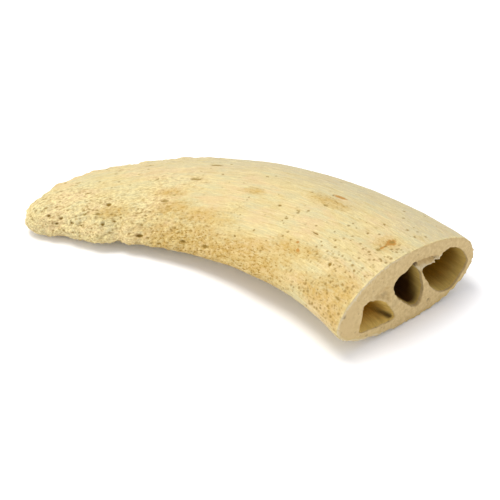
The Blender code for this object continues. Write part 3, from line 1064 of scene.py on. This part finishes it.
def weatheredMaterial(groups):
    look = weatheredBone
    material, tree, shader = newMaterial("weatheredBone", look["roughness"])
    spongy, pored, pale = partsOf(tree, field(tree, "boneZones"))
    ochre, rust, streaked = partsOf(tree, field(tree, "boneStains"))
    pits, rimSoft, edge = partsOf(tree, field(tree, "bonePits"))
    fibres = useGroup(tree, groups["fibres"])
    mottle = useGroup(tree, groups["mottle"])
    often = math(tree, "ADD", 0.03, times(tree, pored, 0.52), times(tree, spongy, 0.30))
    pores = useGroup(tree, groups["pores"], Amount=often, Size=look["poreSize"])
    smooth = math(tree, "SUBTRACT", 1.0, spongy)

    # fibres on the dense bone; on the spongy bone, crests painted pale and hollows dark, partly painted
    # highlight and shade, the hollows also stained
    threads = times(tree, ramped(tree, fibres["Threads"], 0.50, 0.64), look["threadShare"])
    uneven = math(tree, "ADD", 0.25, math(tree, "SUBTRACT", 1.0, mottle["Veils"]))
    lines = times(tree, fibres["Lines"], math(tree, "ADD", 0.25, smooth), uneven, look["lineShare"])
    crests = ramped(tree, mottle["Sponge"], 0.50, 0.62)
    crests = times(tree, crests, math(tree, "ADD", 0.14, times(tree, spongy, 0.7)))
    worn = math(tree, "ADD", times(tree, ochre, 0.65), times(tree, edge, 0.45))
    hollows = ramped(tree, mottle["Sponge"], 0.46, 0.36)
    hollows = times(tree, hollows, math(tree, "MAXIMUM", times(tree, spongy, 0.55), worn))
    # stains
    frayed = math(tree, "ADD", 0.42, times(tree, ramped(tree, mottle["Specks"], 0.34, 0.66), 0.60))
    browned = times(tree, edge, ramped(tree, mottle["Specks"], 0.44, 0.64), look["edgeShare"])
    # holes, painted dark: dirt in them and painted shade
    roundOnes = times(tree, pores["Round"], smooth)
    longOnes = times(tree, pores["Long"], math(tree, "MAXIMUM", spongy, 0.45))
    holes = math(tree, "MAXIMUM", roundOnes, longOnes)
    dark = math(tree, "MAXIMUM", times(tree, holes, look["poreShare"]), ramped(tree, pits, 0.10, 0.85))
    crumbly = times(tree, rimSoft, math(tree, "ADD", 0.20, mottle["Grain"]))

    patches = blended(tree, mottle["Patches"], look["cream"], look["blush"])
    coats = (
        (times(tree, mottle["Veils"], look["veilShare"]), "green"),
        (times(tree, pale, look["paleShare"]), "grey"),
        (times(tree, fibres["Streaks"], look["fibreShare"]), "ochre"),
        (threads, "chalk"),
        (lines, "thread"),
        # crests: partly the pale bone, partly painted highlight; hollows below: painted shade, darker where
        # the bone is stained
        (crests, "chalk"),
        (times(tree, ochre, frayed, look["ochreShare"]), "ochre"),
        (browned, "hollow"),
        (hollows, "hollow"),
        (torn(tree, rust, mottle["Specks"], look["rustShare"]), "rust"),
        (torn(tree, streaked, mottle["Grain"], look["streakShare"]), "streak"),
        (dark, "pore"),
        (crumbly, "chalk"),
    )
    painted(tree, shader, look, patches, coats)

    height = times(tree, mottle["Sponge"], math(tree, "ADD", 0.25, times(tree, spongy, 1.2)))
    height = math(tree, "ADD", height, mottle["Grain"], times(tree, fibres["Threads"], 0.6))
    height = math(tree, "SUBTRACT", height, times(tree, holes, 0.3))
    bumped(tree, shader, height, 0.0004)
    return material


def sawnMaterial(groups):
    look = sawnBone
    material, tree, shader = newMaterial("sawnBone", look["roughness"])
    yellowed, chalky, dirt = partsOf(tree, field(tree, "sawnMarks"))
    sideways = partsOf(tree, field(tree, "boneCoord"))[1]
    mottle = useGroup(tree, groups["mottle"])
    nearEnd = ramped(tree, sideways, -26.0, -38.0)
    often = math(tree, "ADD", 0.05, times(tree, nearEnd, 0.4))
    pores = useGroup(tree, groups["pores"], Amount=often, Size=look["poreSize"])
    mottled = blended(tree, ramped(tree, mottle["Specks"], 0.35, 0.65), look["plain"], look["mottled"])
    coats = (
        (times(tree, nearEnd, look["greyShare"]), "grey"),
        (times(tree, yellowed, math(tree, "ADD", 0.35, mottle["Specks"])), "yellowed"),
        # pores painted dark: dirt in them and painted shade
        (times(tree, pores["Round"], look["poreShare"]), "pore"),
        (times(tree, chalky, ramped(tree, mottle["Grain"], 0.30, 0.55)), "chalk"),
        (dirt, "dirt"),
    )
    painted(tree, shader, look, mottled, coats)
    height = math(tree, "ADD", mottle["Grain"], times(tree, chalky, mottle["Sponge"]))
    bumped(tree, shader, math(tree, "SUBTRACT", height, pores["Round"]), 0.00018)
    return material


def liningMaterial(groups):
    look = sinusLining
    material, tree, shader = newMaterial("sinusLining", look["roughness"])
    crease, _, gloom = partsOf(tree, field(tree, "sawnMarks"))
    depthMm = partsOf(tree, field(tree, "boneCoord"))[0]
    fibres = useGroup(tree, groups["fibres"])
    mottle = useGroup(tree, groups["mottle"])
    # painted light and shade: paler walls near the mouth, painted shade deep inside and on the shaded side of
    # the mouths, and along the near chamber's crease
    lining = blended(tree, ramped(tree, depthMm, 1.0, 16.0), look["mouth"], look["inner"])
    coats = (
        (times(tree, fibres["Streaks"], look["streakShare"]), "streak"),
        (math(tree, "MAXIMUM", gloom, ramped(tree, depthMm, 24.0, 60.0)), "deep"),
        # painted shade along the near chamber's crease
        (times(tree, crease, ramped(tree, depthMm, 0.8, 2.4), look["dirtShare"]), "dirt"),
    )
    painted(tree, shader, look, lining, coats)
    bumped(tree, shader, math(tree, "ADD", fibres["Streaks"], mottle["Grain"]), 0.00015)
    shader.inputs["Specular IOR Level"].default_value = 0.12
    return material


# Studio
studio = {
    "cameraAt": (0.44917, -0.3645, 0.4492),
    "cameraAim": (0.02357, -0.0105, 0.02136),
    "lensMm": 106.67,
    "worldColour": (0.975, 0.98, 1.05),
    "worldStrength": 0.80,
    "floorColour": (0.96, 0.96, 0.96),
    "keyColour": (1.0, 0.985, 0.95),
    "keyAt": (-0.17, -0.15, 1.05),
    "keyWatts": 8.0,
    "keySize": 0.6,
    "fillColour": (1.0, 0.975, 0.92),
    "fillAt": (-0.45, -0.85, 0.22),
    "fillWatts": 3.8,
    "fillSize": 0.6,
}


def aimed(thing, at, aim):
    thing.location = at
    thing.rotation_euler = (Vector(aim) - Vector(at)).to_track_quat("-Z", "Y").to_euler()


def softLight(name):
    lamp = bpy.data.lights.new(name + "Light", "AREA")
    lamp.shape = "DISK"
    lamp.size = studio[name + "Size"]
    lamp.energy = studio[name + "Watts"]
    lamp.color = studio[name + "Colour"]
    holder = bpy.data.objects.new(name + "Light", lamp)
    bpy.context.scene.collection.objects.link(holder)
    aimed(holder, studio[name + "At"], (0, 0, 0.02))


def buildStudio():
    scene = bpy.context.scene
    scene.view_settings.view_transform = "Standard"
    world = bpy.data.worlds.new("studioWorld")
    world.use_nodes = True
    sky = world.node_tree.nodes["Background"]
    sky.inputs["Color"].default_value = (*studio["worldColour"], 1)
    sky.inputs["Strength"].default_value = studio["worldStrength"]
    scene.world = world
    mesh = bpy.data.meshes.new("floor")
    mesh.from_pydata([(-3, -3, 0), (3, -3, 0), (3, 3, 0), (-3, 3, 0)], [], [(0, 1, 2, 3)])
    floor = bpy.data.objects.new("floor", mesh)
    scene.collection.objects.link(floor)
    material, _, shader = newMaterial("floorPaper", 0.9)
    shader.inputs["Base Color"].default_value = (*studio["floorColour"], 1)
    mesh.materials.append(material)
    softLight("key")
    softLight("fill")
    lens = bpy.data.cameras.new("camera")
    lens.lens = studio["lensMm"]
    lens.sensor_width = 36.0
    lens.clip_end = 20
    camera = bpy.data.objects.new("camera", lens)
    scene.collection.objects.link(camera)
    aimed(camera, studio["cameraAt"], studio["cameraAim"])
    scene.camera = camera
    print("studio ready")


buildStudio()
bone = buildBone()
groups = {"fibres": fibreGroup(), "mottle": mottleGroup(), "pores": poreGroup()}
for finish in (weatheredMaterial(groups), sawnMaterial(groups), liningMaterial(groups)):
    bone.data.materials.append(finish)
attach(bone, "root")
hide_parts("horn_core")
print("finishes on")
